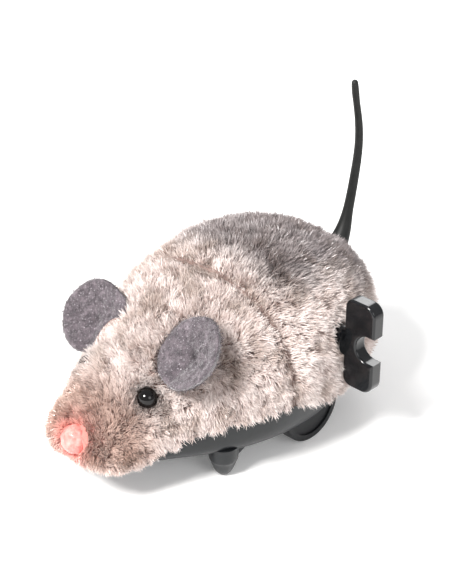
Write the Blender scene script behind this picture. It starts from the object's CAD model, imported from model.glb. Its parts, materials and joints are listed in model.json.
"""The looks of the clockwork mouse: plush pile, felt ears, beads, plastics, rubber and metals.

Meshes are made in metres. Names and comments that say mm hold millimetres.
"""

import json

import bpy
import numpy as np
from mathutils import Matrix, Vector, kdtree, noise


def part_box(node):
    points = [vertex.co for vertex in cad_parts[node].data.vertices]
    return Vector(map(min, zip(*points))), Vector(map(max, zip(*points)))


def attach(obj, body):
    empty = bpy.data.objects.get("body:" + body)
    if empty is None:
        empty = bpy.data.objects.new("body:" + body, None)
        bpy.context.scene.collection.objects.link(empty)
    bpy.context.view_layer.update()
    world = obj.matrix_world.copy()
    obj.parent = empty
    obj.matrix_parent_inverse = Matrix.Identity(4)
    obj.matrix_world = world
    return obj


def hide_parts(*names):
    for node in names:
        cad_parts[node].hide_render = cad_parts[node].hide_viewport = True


MM = 0.001
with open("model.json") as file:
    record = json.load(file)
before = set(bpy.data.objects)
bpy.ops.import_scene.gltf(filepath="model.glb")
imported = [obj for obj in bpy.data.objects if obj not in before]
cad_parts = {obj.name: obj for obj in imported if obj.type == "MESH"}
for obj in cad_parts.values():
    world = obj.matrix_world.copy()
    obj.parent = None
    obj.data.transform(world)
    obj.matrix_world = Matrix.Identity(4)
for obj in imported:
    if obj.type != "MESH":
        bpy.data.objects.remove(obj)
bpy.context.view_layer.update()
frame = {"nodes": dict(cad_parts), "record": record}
nodes = frame["nodes"]

# ---------------------------------------------------------------- plush, mm unless MM is named
SEAM_X = 2.0  # where the two panels are sewn together
SEAM_HALF = 1.2  # reach of the parted pile on each side of the seam
SEAM_LAP = 0.4 * MM  # how far each backing runs under the other
SKIN_DEPTH = 1.0 * MM  # the roots of the pile, under the face of the closed solid
CHIN_LIFT = 2.4  # how far the hem is drawn up under the chin to show the hull
PANELS = {  # each panel's flat width and length in metres
    "fur_front": ("plush_front", (0.100, 0.060)),
    "fur_rear": ("plush_rear", (0.105, 0.066)),
}
STRANDS = 46000  # on each side of each panel
STRANDS_PER_TUFT = 60
STRAND_LENGTH = (1.9, 3.3)
STRAND_HALF_WIDTH = (0.065, 0.12)
LIE_BACK_AND_DOWN = np.array([-0.5, 0.0, -0.55])
HEM_X = (-12.0, 14.0, 33.0, 37.0, 44.0)
HEM_Z = (12.6, 17.2, 12.2, 8.8, 9.6)
BODY_CORE = (-29.0, 34.0, 13.0)  # rear end, front end and height of the line that the plush faces away from

# ---------------------------------------------------------------- ears, mm unless MM is named
EAR_R = 9.2
EAR_CUP = 2.6  # how far the rim stands in front of the middle
EAR_SET = 1.1  # how far the middle lies behind the ear's centre
EAR_HALF = 1.45  # half the felt's thickness
EAR_RINGS, EAR_SPOKES = 24, 72
EAR_CREASE = 1.1 * MM
STITCH_PIT = 2.4 * MM
FUZZ = 14000  # loose fibres on each ear
EARS = {  # centre and the way the hollow side faces
    "ear_left": (np.array([22.6, 15.4, 34.8]), np.array([0.71, -0.17, 0.69])),
    "ear_right": (np.array([22.4, -17.6, 31.2]), np.array([0.78, 0.17, 0.60])),
}

# ---------------------------------------------------------------- beads, mm
BEAD_R = {"eye_left": 2.4, "eye_right": 2.4, "nose": 2.9}
NOSE_POM_R = 3.6
NOSE_PROUD = np.array([0.6, 0.2, 0.4])  # the soft nose stands this far off the bead's centre
KEY_HOLE_R = 3.0
KEY_SIDE_Y = 20 * MM


# ---------------------------------------------------------------- node material helpers
class Shader:
    """A Principled material under construction."""

    def __init__(self, name):
        self.material = bpy.data.materials.new(name)
        self.material.use_nodes = True
        self.tree = self.material.node_tree
        self.principled = self.tree.nodes["Principled BSDF"]
        self.place = self.tree.nodes.new("ShaderNodeTexCoord").outputs["Object"]

    def set(self, **values):
        """Values that are the same all over the surface, on the shader's own sockets."""
        for key, value in values.items():
            self.principled.inputs[key.replace("_", " ")].default_value = value
        return self

    def node(self, kind, inputs=(), **settings):
        """A new node with its inputs linked or filled in."""
        made = self.tree.nodes.new(kind)
        for key, value in settings.items():
            setattr(made, key, value)
        for key, value in dict(inputs).items():
            self.feed(made.inputs[key], value)
        return made

    def feed(self, socket, value):
        """Link a socket to another node's output, or give it a value."""
        if hasattr(value, "is_output"):
            self.tree.links.new(value, socket)
        else:
            socket.default_value = value

    def noise(self, per_mm, detail=4.0, rough=0.6):
        inputs = {"Vector": self.place, "Scale": per_mm / MM, "Detail": detail, "Roughness": rough}
        return self.node("ShaderNodeTexNoise", inputs).outputs["Fac"]

    def attribute(self, name):
        return self.node("ShaderNodeAttribute", attribute_name=name).outputs["Fac"]

    def ramp(self, factor, *stops):
        """A colour ramp through (place, colour) stops."""
        made = self.node("ShaderNodeValToRGB", {"Fac": factor})
        while len(made.color_ramp.elements) < len(stops):
            made.color_ramp.elements.new(0.5)
        for element, (at, colour) in zip(made.color_ramp.elements, stops):
            element.position = at
            element.color = (*colour, 1)
        return made.outputs["Color"]

    def mix(self, factor, a, b, blend="MIX"):
        """A mix of two colours, each an output or a plain colour."""
        made = self.node("ShaderNodeMix", data_type="RGBA", blend_type=blend)
        self.feed(made.inputs[0], factor)
        for socket, value in ((made.inputs[6], a), (made.inputs[7], b)):
            self.feed(socket, value if hasattr(value, "is_output") else (*value, 1))
        return made.outputs[2]

    def range(self, factor, low, high):
        made = self.node("ShaderNodeMapRange", {"Value": factor, "To Min": low, "To Max": high})
        return made.outputs["Result"]

    def link(self, socket, value):
        self.tree.links.new(value, self.principled.inputs[socket])
        return self

    def bump(self, height, distance_mm):
        made = self.node("ShaderNodeBump", {"Height": height, "Strength": 1.0, "Distance": distance_mm * MM})
        return self.link("Normal", made.outputs["Normal"])


def srgb(r, g, b):
    """A colour as the eye reads it, 0 to 255, in linear light."""
    return tuple(((c / 255 + 0.055) / 1.055) ** 2.4 if c > 10 else c / 255 / 12.92 for c in (r, g, b))


# ---------------------------------------------------------------- materials
def moulded_plastic(name, colour, rough, gloss):
    """Black injection moulding with faint flow marks and fine scuffs."""
    s = Shader(name).set(Coat_Weight=gloss, Coat_Roughness=0.08, Specular_IOR_Level=0.28)
    flow_mark = tuple(c * 1.5 for c in colour)
    s.link("Base Color", s.ramp(s.noise(0.12, 3), (0.35, colour), (0.7, flow_mark)))
    s.link("Roughness", s.range(s.noise(0.9, 6), rough, rough + 0.14))
    return s.bump(s.noise(2.2, 5), 0.012).material


def rubber():
    """Matt black rubber with a slightly uneven skin."""
    s = Shader("tail_rubber").set(Specular_IOR_Level=0.28)
    s.link("Base Color", s.ramp(s.noise(0.5, 4), (0.3, srgb(14, 15, 15)), (0.75, srgb(27, 28, 27))))
    s.link("Roughness", s.range(s.noise(1.4, 4), 0.42, 0.62))
    return s.bump(s.noise(3.0, 4), 0.02).material


def metal(name, light, dark, rough):
    """Pressed or cut metal with brushed streaks."""
    s = Shader(name).set(Metallic=1.0)
    streak = s.node("ShaderNodeMapping", {"Vector": s.place, "Scale": (0.4, 6.0, 0.4)}).outputs["Vector"]
    grain = s.node("ShaderNodeTexNoise", {"Vector": streak, "Scale": 400.0, "Detail": 4.0}).outputs["Fac"]
    s.link("Base Color", s.ramp(grain, (0.3, dark), (0.7, light)))
    s.link("Roughness", s.range(grain, rough, rough + 0.2))
    return s.bump(grain, 0.006).material


def nylon():
    """Off-white nylon that lets a little light in."""
    s = Shader("nylon").set(Subsurface_Weight=0.2, Subsurface_Scale=0.001)
    s.link("Base Color", s.ramp(s.noise(0.3), (0.3, srgb(226, 220, 206)), (0.7, srgb(240, 236, 226))))
    s.link("Roughness", s.range(s.noise(1.0), 0.4, 0.55))
    return s.bump(s.noise(2.0), 0.01).material


def eye_bead():
    """A polished, nearly black bead."""
    s = Shader("eye_bead").set(Coat_Weight=0.12, Coat_Roughness=0.02, Specular_IOR_Level=0.28)
    s.link("Base Color", s.ramp(s.noise(0.4), (0.3, srgb(7, 7, 8)), (0.8, srgb(16, 13, 12))))
    s.link("Roughness", s.range(s.noise(1.5), 0.04, 0.1))
    return s.material


def nose_bead():
    """Translucent pink, paler in patches, with a faint glow for the light that gathers inside."""
    s = Shader("nose_bead").set(Subsurface_Weight=0.85, Subsurface_Scale=0.004, Coat_Weight=0.25)
    s.set(Subsurface_Radius=(1.0, 0.45, 0.4))
    s.set(Emission_Strength=0.14, Emission_Color=(*srgb(255, 140, 132), 1))
    s.link("Base Color", s.ramp(s.noise(0.55, 5), (0.34, srgb(216, 104, 98)), (0.64, srgb(240, 150, 143))))
    s.link("Roughness", s.range(s.noise(1.2), 0.35, 0.55))
    return s.bump(s.noise(0.9, 6), 0.12).material


def plush_backing():
    """The knitted ground that the pile is set in, seen only between tufts, and pink about the nose."""
    s = Shader("plush_backing").set(Roughness=0.95, Sheen_Weight=0.3)
    knit = s.node("ShaderNodeTexVoronoi", {"Vector": s.place, "Scale": 1.6 / MM}).outputs["Distance"]
    ground = s.ramp(s.noise(0.25, 5), (0.3, srgb(112, 90, 84)), (0.7, srgb(158, 134, 126)))
    s.link("Base Color", s.mix(s.attribute("blush"), ground, srgb(240, 128, 118)))
    return s.bump(knit, 0.15).material


def plush_pile():
    """Acrylic pile: darker at the root, pinkish cream at the tip, grey on the rump, brown on the snout."""
    s = Shader("plush_pile").set(Sheen_Weight=0.3, Sheen_Roughness=0.4, Specular_IOR_Level=0.8)
    along = s.attribute("along")
    cream_stops = (0.0, srgb(182, 158, 149)), (0.4, srgb(222, 207, 201)), (1.0, srgb(246, 239, 236))
    grey_stops = (0.0, srgb(62, 56, 58)), (0.45, srgb(100, 92, 94)), (1.0, srgb(150, 141, 142))
    brown_stops = (0.0, srgb(148, 118, 106)), (1.0, srgb(202, 174, 161))
    dark_stops = (0.0, srgb(40, 34, 33)), (1.0, srgb(92, 78, 74))
    coloured = s.mix(s.attribute("grey"), s.ramp(along, *cream_stops), s.ramp(along, *grey_stops))
    coloured = s.mix(s.attribute("snout"), coloured, s.ramp(along, *brown_stops))
    coloured = s.mix(s.attribute("blush"), coloured, srgb(252, 150, 140))
    coloured = s.mix(s.attribute("shadow"), coloured, s.ramp(along, *dark_stops))
    strand = s.attribute("strand")
    tone = s.ramp(strand, (0.0, (0.7, 0.65, 0.62)), (0.5, (0.98, 0.96, 0.96)), (1.0, (1, 1, 1)))
    s.link("Base Color", s.mix(1.0, coloured, tone, "MULTIPLY"))
    s.link("Roughness", s.range(strand, 0.26, 0.5))
    return s.material


def felt():
    """Lilac-grey fleece, mottled, with a dusting of bright fibres and a dark stitched pit."""
    s = Shader("ear_felt").set(Sheen_Weight=0.6, Sheen_Roughness=0.5)
    mottle_stops = (0.3, srgb(51, 44, 50)), (0.52, srgb(84, 75, 81)), (0.72, srgb(124, 113, 120))
    glint = s.ramp(s.noise(2.6, 3), (0.62, (0, 0, 0)), (0.7, (1, 1, 1)))
    speckled = s.mix(glint, s.ramp(s.noise(0.5, 6, 0.7), *mottle_stops), srgb(196, 190, 196))
    s.link("Base Color", s.mix(s.attribute("pit"), speckled, srgb(34, 28, 32)))
    s.link("Roughness", s.range(s.noise(1.0), 0.75, 0.95))
    return s.bump(s.noise(1.3, 8, 0.75), 0.25).material


def white_floor():
    """Matt white, faintly lit of itself so that shadows stay pale."""
    s = Shader("floor").set(Roughness=0.9, Specular_IOR_Level=0.1)
    s.set(Emission_Color=(1, 1, 1, 1), Emission_Strength=0.13)
    s.link("Base Color", s.ramp(s.noise(0.004, 2), (0.3, (0.93, 0.93, 0.93)), (0.7, (0.95, 0.95, 0.95))))
    return s.material


WHEEL = moulded_plastic("wheel_plastic", srgb(20, 21, 23), 0.4, 0.05)
BACKING = plush_backing()
PILE = plush_pile()
FELT = felt()
NOSE = nose_bead()
BY_SLOT = {
    "hull": moulded_plastic("hull_plastic", srgb(24, 26, 28), 0.26, 0.15),
    "shell": moulded_plastic("shell_plastic", srgb(26, 26, 27), 0.5, 0.05),
    "key": moulded_plastic("key_plastic", srgb(13, 14, 16), 0.1, 0.3),
    "rubber": rubber(),
    "bead": eye_bead(),
    "nose": NOSE,
    "nylon": nylon(),
    "steel": metal("steel", srgb(196, 197, 200), srgb(150, 151, 155), 0.28),
    "brass": metal("brass", srgb(214, 176, 96), srgb(168, 130, 62), 0.25),
    "spring_steel": metal("blued_steel", srgb(92, 98, 118), srgb(58, 62, 78), 0.3),
    "plush": BACKING,
    "felt": FELT,
}


def dress_cad_nodes():
    """Give every carried-over node the material of its slot."""
    slots = {row["node"]: row["material_slot"] for row in frame["record"]["subparts"]}
    for name, obj in nodes.items():
        material = WHEEL if name.startswith("wheel_") else BY_SLOT[slots[name]]
        for slot in obj.material_slots:
            slot.material = material


# ---------------------------------------------------------------- numbers and meshes
def unit(v):
    return v / np.maximum(np.linalg.norm(v, axis=-1, keepdims=True), 1e-12)


def smoothstep(t):
    t = np.clip(t, 0, 1)
    return t * t * (3 - 2 * t)


def near(root, centre, reach):
    """1 at a centre in mm, fading to nothing past its reach."""
    return np.exp(-((np.linalg.norm(root / MM - centre, axis=1) / reach) ** 2))


def field(points, per_mm, seed):
    """Smooth noise, one value per point."""
    shift = Vector((seed * 7.1, seed * 3.3, seed * 5.7))
    return np.array([noise.noise(Vector(p) * (per_mm / MM) + shift) for p in points])


def flatten(vectors, up):
    """The part of each vector that lies in the cloth."""
    return vectors - up * (vectors * up).sum(1, keepdims=True)


def triangles_of(obj):
    """A mesh object's points in metres, and the three points of each triangle."""
    mesh = obj.data
    mesh.calc_loop_triangles()
    points = np.empty(len(mesh.vertices) * 3)
    mesh.vertices.foreach_get("co", points)
    corners = np.empty(len(mesh.loop_triangles) * 3, int)
    mesh.loop_triangles.foreach_get("vertices", corners)
    return points.reshape(-1, 3), corners.reshape(-1, 3)


def new_piece(name, points, faces, material):
    """A smooth-shaded mesh that rides the chassis."""
    mesh = bpy.data.meshes.new(name)
    mesh.from_pydata([tuple(p) for p in points], [], faces)
    mesh.materials.append(material)
    mesh.polygons.foreach_set("use_smooth", [True] * len(mesh.polygons))
    obj = bpy.data.objects.new(name, mesh)
    bpy.context.scene.collection.objects.link(obj)
    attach(obj, "chassis")
    return obj


def new_blades(name, root, middle, tip, aside, material):
    """A piece of tapering two-part blades, five points each, aside being half a blade's width."""
    verts = np.stack([root - aside, root + aside, middle - aside, middle + aside, tip], 1)
    first = np.arange(len(root))[:, None] * 5
    faces = (first + [0, 1, 3, 2]).tolist() + (first + [2, 3, 4]).tolist()
    return new_piece(name, verts.reshape(-1, 3), faces, material)


def paint(obj, key, values):
    """One number per point, for a material to read."""
    layer = obj.data.attributes.new(key, "FLOAT", "POINT")
    layer.data.foreach_set("value", values)


def outward_faces(points, corners):
    """Which triangles face out of the body, and every triangle's normal, area and middle."""
    a, b, c = (points[corners[:, i]] for i in range(3))
    cross = np.cross(b - a, c - a)
    area = np.linalg.norm(cross, axis=1) / 2
    normal = unit(cross)
    middle = (a + b + c) / 3
    rear, front, height = BODY_CORE
    core = np.zeros_like(middle)
    core[:, 0] = np.clip(middle[:, 0], rear * MM, front * MM)
    core[:, 2] = height * MM
    facing = (normal * unit(middle - core)).sum(1)
    return facing > 0.45, normal, area, middle


# ---------------------------------------------------------------- what the pile keeps clear of
def bead_centre(node):
    """The middle of a bead in mm, straight below its topmost point."""
    points, _ = triangles_of(nodes[node])
    top = points[points[:, 2].argmax()] / MM
    return top - np.array([0, 0, BEAD_R[node]])


NOSE_AT = bead_centre("nose")
EYE_LEFT_AT = bead_centre("eye_left")
EYE_RIGHT_AT = bead_centre("eye_right")
TAIL_SWING_AT = np.array([-49.4, 0.0, 36.8])
CLEARED = (  # centre and radius in mm of the hollows that the pile is brushed out of
    (NOSE_AT + NOSE_PROUD, 3.5),
    (NOSE_AT + np.array([2.8, 1.6, 2.3]), 3.7),
    (EYE_LEFT_AT, 2.2),
    (EYE_LEFT_AT + np.array([0.9, 0.9, 1.1]), 2.35),
    (EYE_RIGHT_AT + np.array([0.5, -1.4, 0.3]), 2.2),
    (TAIL_SWING_AT, 4.3),
)


def ear_cup(share):
    """How far forward the ear's middle surface lies, in mm, at a share of its radius."""
    return EAR_CUP * share**2 - EAR_SET


def about_ear(node, spot):
    """How far each spot in mm is from the ear's axis, and how far in front of its cupped middle surface."""
    centre, out = EARS[node]
    out = unit(out)
    off = spot - centre
    ahead = off @ out
    away = np.linalg.norm(off - ahead[:, None] * out, axis=1)
    return away, ahead - ear_cup(away / EAR_R)


def keep_clear(*spots):
    """Which strands stay out of the eyes, the nose, the ears, the key's hub and the tail's swing."""
    keep = np.ones(len(spots[0]), bool)
    low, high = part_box("winding_key")
    for spot in spots:
        for centre, radius in CLEARED:
            keep &= np.linalg.norm(spot / MM - centre, axis=1) > radius
        for node in EARS:
            away, ahead = about_ear(node, spot / MM)
            keep &= ~((away < EAR_R) & (np.abs(ahead) < EAR_HALF))
        from_key = np.hypot(spot[:, 0] - (low[0] + high[0]) / 2, spot[:, 2] - (low[2] + high[2]) / 2)
        keep &= ~((from_key < KEY_HOLE_R * MM) & (spot[:, 1] > KEY_SIDE_Y))
    return keep


# ---------------------------------------------------------------- plush
def cloth_of(node):
    """A plush panel's mesh, with its hem drawn up under the chin to show the hull."""
    points, corners = triangles_of(nodes[node])
    x, z = points[:, 0] / MM, points[:, 2] / MM
    points[:, 2] += CHIN_LIFT * MM * smoothstep((x - 22) / 9) * (1 - smoothstep((z - 5) / 9))
    return points, corners


def make_backing(name, node):
    """The panel itself, with its outer face drawn in to the roots of the pile."""
    points, corners = cloth_of(node)
    outer, normal, area, _ = outward_faces(points, corners)
    sums = np.zeros_like(points)
    for i in range(3):
        np.add.at(sums, corners[outer][:, i], normal[outer] * area[outer, None])
    moved = points - unit(sums) * SKIN_DEPTH * (np.linalg.norm(sums, axis=1, keepdims=True) > 0)
    at_seam = np.abs(points[:, 0] / MM - SEAM_X) < 0.5
    moved[at_seam, 0] += np.sign(SEAM_X - points.mean(0)[0] / MM) * SEAM_LAP
    obj = new_piece(name, moved, corners.tolist(), BACKING)
    paint(obj, "blush", near(points, NOSE_AT, 6.0))
    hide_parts(node)


def scatter(node, side, count, rng):
    """Roots spread evenly over one side of a panel, and the way out of the cloth at each."""
    points, corners = cloth_of(node)
    outer, normal, area, middle = outward_faces(points, corners)
    here = outer & (middle[:, 1] * side > 0)
    corners, normal, area = corners[here], normal[here], area[here]
    pick = rng.choice(len(corners), count, p=area / area.sum())
    u, v = rng.random((2, count, 1))
    over = u + v > 1
    u, v = np.where(over, 1 - u, u), np.where(over, 1 - v, v)
    a, b, c = (points[corners[pick, i]] for i in range(3))
    up = normal[pick]
    return a + (b - a) * u + (c - a) * v - up * SKIN_DEPTH, up


def nearest(spots, root):
    """The index of the spot nearest to each root."""
    tree = kdtree.KDTree(len(spots))
    for i, spot in enumerate(spots):
        tree.insert(spot, i)
    tree.balance()
    return np.array([tree.find(p)[1] for p in root])


def hem(x):
    """The height in mm of the pile's lower edge: arched over the front feet and level elsewhere."""
    return np.interp(x, HEM_X, HEM_Z)


def seam_share(root):
    """1 on the seam, fading to nothing on each side."""
    return np.exp(-(((root[:, 0] / MM - SEAM_X) / SEAM_HALF) ** 2))


def brow(root):
    """1 on the inner side of the right eye, where longer pile hangs over it."""
    return near(root, EYE_RIGHT_AT + np.array([1.2, 2.2, 1.0]), 2.7)


def fall_of(root, up, turned, seed, rng):
    """Which way each strand lies in the cloth: back and down, in swirls, and parted at the seam."""
    swirl = np.stack([field(root, 0.06, seed + k) for k in range(3)], 1)
    ripple = np.stack([field(root, 0.3, seed + 4 + k) for k in range(3)], 1)
    fall = LIE_BACK_AND_DOWN + swirl * 0.9 + ripple * 0.75 + turned
    fall = flatten(fall + rng.normal(0, 0.45, (len(root), 3)), up)
    from_seam = root[:, 0] / MM - SEAM_X
    parted = 0.6 * seam_share(root) * np.sign(from_seam)
    held_off = 0.8 * np.exp(-(((from_seam - 1.4) / 1.8) ** 2))
    fall[:, 0] += parted + held_off
    fall[:, 1] -= 1.2 * brow(root)
    return fall


def length_of(root, tall, rng):
    """Each strand's length in metres: short on the face, at the seam and in front of the ears."""
    length = rng.uniform(*STRAND_LENGTH, len(root)) * tall
    length *= 1 - 0.3 * smoothstep((root[:, 0] / MM - 27) / 14)
    length *= 1 - 0.45 * seam_share(root)
    length *= 1 + 1.2 * brow(root)
    for ear in EARS:
        away, ahead = about_ear(ear, root / MM)
        length *= 1 - 0.5 * ((away < EAR_R) & (ahead > 0) & (ahead < 9))
    return length[:, None] * MM


def colour_pile(pile, root, seed, rng):
    """Paint the zones and each strand's own tone."""
    x, _, z = root.T / MM
    tone = 0.5 + 0.4 * (rng.random(len(root)) - 0.5) + 1.1 * field(root, 0.21, seed + 9)
    rump = smoothstep((-16 - x) / 22) * smoothstep((z - 24) / 14)
    back = 0.85 * smoothstep((z - 37) / 7) * smoothstep((2 - x) / 12)
    zones = {
        "strand": tone - 0.6 * seam_share(root),
        "grey": np.minimum(rump + back, 0.9),
        "snout": 0.95 * smoothstep((x - 30) / 10) * smoothstep((z - 8) / 7),
        "blush": 0.85 * near(root, NOSE_AT, 4.5),
        "shadow": 1.25 * (near(root, EYE_LEFT_AT, 3.1) + near(root, EYE_RIGHT_AT, 3.1)),
    }
    paint(pile, "along", np.tile([0.0, 0.0, 0.5, 0.5, 1.0], len(root)))
    for key, value in zones.items():
        paint(pile, key, np.repeat(np.clip(value, 0, 1), 5))


def make_pile(name, node, side, seed):
    """Fine tapering strands rooted in the backing and loosely gathered into tufts."""
    rng = np.random.default_rng(seed)
    root, up = scatter(node, side, STRANDS, rng)
    tufts = root[rng.choice(STRANDS, STRANDS // STRANDS_PER_TUFT, replace=False)]
    mine = nearest(tufts, root)
    turned = rng.normal(0, 0.34, (len(tufts), 3))[mine]
    tall = rng.uniform(0.8, 1.15, len(tufts))[mine]
    fall = fall_of(root, up, turned, seed, rng)
    length = length_of(root, tall, rng)
    lean = unit(up * rng.uniform(0.75, 1.3, (STRANDS, 1)) + fall * 0.6)
    gather = flatten(tufts[mine] - root, up) * rng.uniform(0.1, 0.5, (STRANDS, 1))
    tip = root + lean * length + gather
    middle = root + (tip - root) * 0.5 + up * length * 0.1

    ragged = rng.exponential(0.55, STRANDS)
    keep = keep_clear(root, middle, tip) & (tip[:, 2] / MM > hem(tip[:, 0] / MM) - ragged)
    root, middle, tip, up, length = root[keep], middle[keep], tip[keep], up[keep], length[keep]
    kept = len(root)
    aside = unit(np.cross(tip - root, up) + rng.normal(0, 0.35, (kept, 3)) * length)
    half = rng.uniform(*STRAND_HALF_WIDTH, (kept, 1)) * MM
    pile = new_blades(name, root, middle, tip, aside * half, PILE)
    colour_pile(pile, root, seed, rng)


# ---------------------------------------------------------------- ears
def ear_surface(node, seed, stitch):
    """The felt's front and back points, ring by ring, and how deep each lies in the stitched pit."""
    centre, out = EARS[node]
    centre = centre * MM
    out = unit(out)
    down = unit(np.array([0, 0, -1.0]) + out * out[2])
    across = np.cross(down, out)
    verts, pits = [], []
    for ring in range(EAR_RINGS + 1):
        share = ring / EAR_RINGS
        thick = EAR_HALF * MM * np.sqrt(max(0.0, 1 - share**5))
        for spoke in range(EAR_SPOKES):
            angle = 2 * np.pi * spoke / EAR_SPOKES
            wobble = 1 + 0.018 * np.sin(3 * angle + seed) + 0.012 * np.sin(5 * angle + 2 * seed)
            r = EAR_R * MM * share * wobble
            flat = centre + across * r * np.sin(angle) + down * r * np.cos(angle)
            forward = ear_cup(share) * MM - ear_crease(share, angle, stitch)
            for sign in (1, -1):
                pits.append(stitch * np.exp(-((share / 0.14) ** 2)))
                verts.append(flat + out * (forward + sign * thick))
    verts = np.array(verts)
    rough = np.array([noise.fractal(Vector(p) * 900, 0.7, 2.0, 4) for p in verts])
    return verts + out * rough[:, None] * 0.32 * MM, pits


def ear_crease(share, angle, stitch):
    """How far back the felt is drawn, in metres: a fold up from the root, and the pit of the stitch."""
    toward_root = share * np.cos(angle)
    fold = EAR_CREASE * np.exp(-((share * np.sin(angle) / 0.16) ** 2)) * smoothstep(0.75 + toward_root * 0.8)
    fold *= smoothstep((toward_root + 0.35) / 0.7)
    return fold + STITCH_PIT * stitch * np.exp(-((share / 0.12) ** 2))


def ear_faces():
    """Quads over the front and back, and round the rim."""
    faces = []
    stride = EAR_SPOKES * 2
    for ring in range(EAR_RINGS):
        for spoke in range(EAR_SPOKES):
            here, there = spoke * 2, (spoke + 1) % EAR_SPOKES * 2
            for side in (0, 1):
                inner, outer = ring * stride + side, (ring + 1) * stride + side
                quad = [inner + here, outer + here, outer + there, inner + there]
                faces.append(quad if side == 0 else quad[::-1])
    edge = EAR_RINGS * stride
    for spoke in range(EAR_SPOKES):
        here, there = edge + spoke * 2, edge + (spoke + 1) % EAR_SPOKES * 2
        faces.append([here, here + 1, there + 1, there])
    return faces


def make_ear(name, node, seed, stitch):
    """A round of fleece with a soft edge, cupped, puckered where it is stitched, and covered in fuzz."""
    verts, pits = ear_surface(node, seed, stitch)
    faces = ear_faces()
    ear = new_piece(name, verts, faces, FELT)
    paint(ear, "pit", pits)
    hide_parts(node)
    make_fuzz(name + "_fuzz", verts, np.array(faces), np.random.default_rng(seed))


def make_fuzz(name, points, quads, rng):
    """Short loose fibres standing off the felt in every direction."""
    a, b, c = (points[quads[:, i]] for i in range(3))
    cross = np.cross(b - a, c - a)
    area = np.linalg.norm(cross, axis=1)
    pick = rng.choice(len(quads), FUZZ, p=area / area.sum())
    u, v = rng.random((2, FUZZ, 1))
    root = a[pick] + (b - a)[pick] * u + (points[quads[pick, 3]] - a[pick]) * v
    up = unit(cross[pick])
    heading = unit(up * 0.5 + rng.normal(0, 0.7, (FUZZ, 3)))
    length = rng.uniform(0.7, 1.7, (FUZZ, 1)) * MM
    tip = root + heading * length
    aside = unit(np.cross(heading, rng.normal(0, 1, (FUZZ, 3)))) * rng.uniform(0.03, 0.06, (FUZZ, 1)) * MM
    middle = root + heading * length * 0.5 + up * 0.1 * MM
    new_blades(name, root, middle, tip, aside, FELT)


# ---------------------------------------------------------------- nose
def make_nose():
    """A soft, slightly lumpy ball."""
    bpy.ops.mesh.primitive_ico_sphere_add(subdivisions=5, radius=NOSE_POM_R * MM, location=(0, 0, 0))
    obj = bpy.context.object
    obj.name = "nose_pom"
    centre = Vector((NOSE_AT + NOSE_PROUD) * MM)
    for vertex in obj.data.vertices:
        lump = noise.fractal(vertex.co * 520, 0.8, 2.0, 3)
        vertex.co = centre + vertex.co * (1 + 0.055 * lump)
    obj.data.materials.append(NOSE)
    obj.data.polygons.foreach_set("use_smooth", [True] * len(obj.data.polygons))
    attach(obj, "chassis")
    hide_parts("nose")


# ---------------------------------------------------------------- camera, lights and floor
CAMERA_AZIMUTH, CAMERA_ELEVATION = np.radians(134.55), np.radians(31.7)
CAMERA_DISTANCE = 400.7 * MM
BODY_MIDDLE = Vector((0, 0, 20 * MM))
LENS = 99.06
SENSOR = 36
AIM = (0.0075, 0.0355)  # slope of the view off the line to the body's middle, to the right and up
WORLD_STRENGTH = 0.56
LAMPS = (  # name, place, size, power and colour
    ("key_light", (0.41, 0.0, 0.45), 0.19, 6.6, (1.0, 0.985, 0.965)),
    ("fill_light", (0.1, 0.5, 0.3), 0.3, 0.8, (1, 1, 1)),
    ("rim_light", (-0.4, -0.25, 0.35), 0.25, 0.9, (1, 1, 1)),
)


def set_camera():
    """A long lens looking down on the mouse's left front."""
    level = np.cos(CAMERA_ELEVATION)
    east, north = np.sin(CAMERA_AZIMUTH) * level, -np.cos(CAMERA_AZIMUTH) * level
    back = Vector((east, north, np.sin(CAMERA_ELEVATION)))
    right = Vector((np.cos(CAMERA_AZIMUTH), np.sin(CAMERA_AZIMUTH), 0))
    up = back.cross(right)
    look = (-back + right * AIM[0] + up * AIM[1]).normalized()
    side = look.cross(up).normalized()
    top = side.cross(look)
    data = bpy.data.cameras.new("camera")
    data.sensor_width = SENSOR
    data.lens = LENS
    data.clip_start = 0.01
    camera = bpy.data.objects.new("camera", data)
    turn = Matrix((side, top, -look)).transposed().to_4x4()
    camera.matrix_world = Matrix.Translation(BODY_MIDDLE + back * CAMERA_DISTANCE) @ turn
    bpy.context.scene.collection.objects.link(camera)
    bpy.context.scene.camera = camera


def add_lamp(name, place, size, power, colour):
    """A round area light aimed at the body."""
    data = bpy.data.lights.new(name, "AREA")
    data.shape = "DISK"
    data.size = size
    data.energy = power
    data.color = colour
    lamp = bpy.data.objects.new(name, data)
    lamp.location = place
    lamp.rotation_euler = (BODY_MIDDLE - Vector(place)).to_track_quat("-Z", "Y").to_euler()
    bpy.context.scene.collection.objects.link(lamp)


def set_room():
    """White surroundings, the lamps and a white floor."""
    world = bpy.data.worlds.new("world")
    world.use_nodes = True
    background = world.node_tree.nodes["Background"]
    background.inputs["Color"].default_value = (1, 1, 1, 1)
    background.inputs["Strength"].default_value = WORLD_STRENGTH
    bpy.context.scene.world = world
    bpy.context.scene.view_settings.view_transform = "Standard"
    for lamp in LAMPS:
        add_lamp(*lamp)
    bpy.ops.mesh.primitive_plane_add(size=4)
    floor = bpy.context.object
    floor.name = "floor"
    floor.data.materials.append(white_floor())


set_camera()
set_room()
dress_cad_nodes()
for panel, (backing, flat_size) in PANELS.items():
    make_backing(backing, panel)
for side_y, place in ((1, "left"), (-1, "right")):
    make_pile("pile_front_" + place, "fur_front", side_y, 10 + side_y)
    make_pile("pile_rear_" + place, "fur_rear", side_y, 20 + side_y)
make_ear("felt_ear_left", "ear_left", 5, 1.0)
make_ear("felt_ear_right", "ear_right", 6, 0.25)
make_nose()
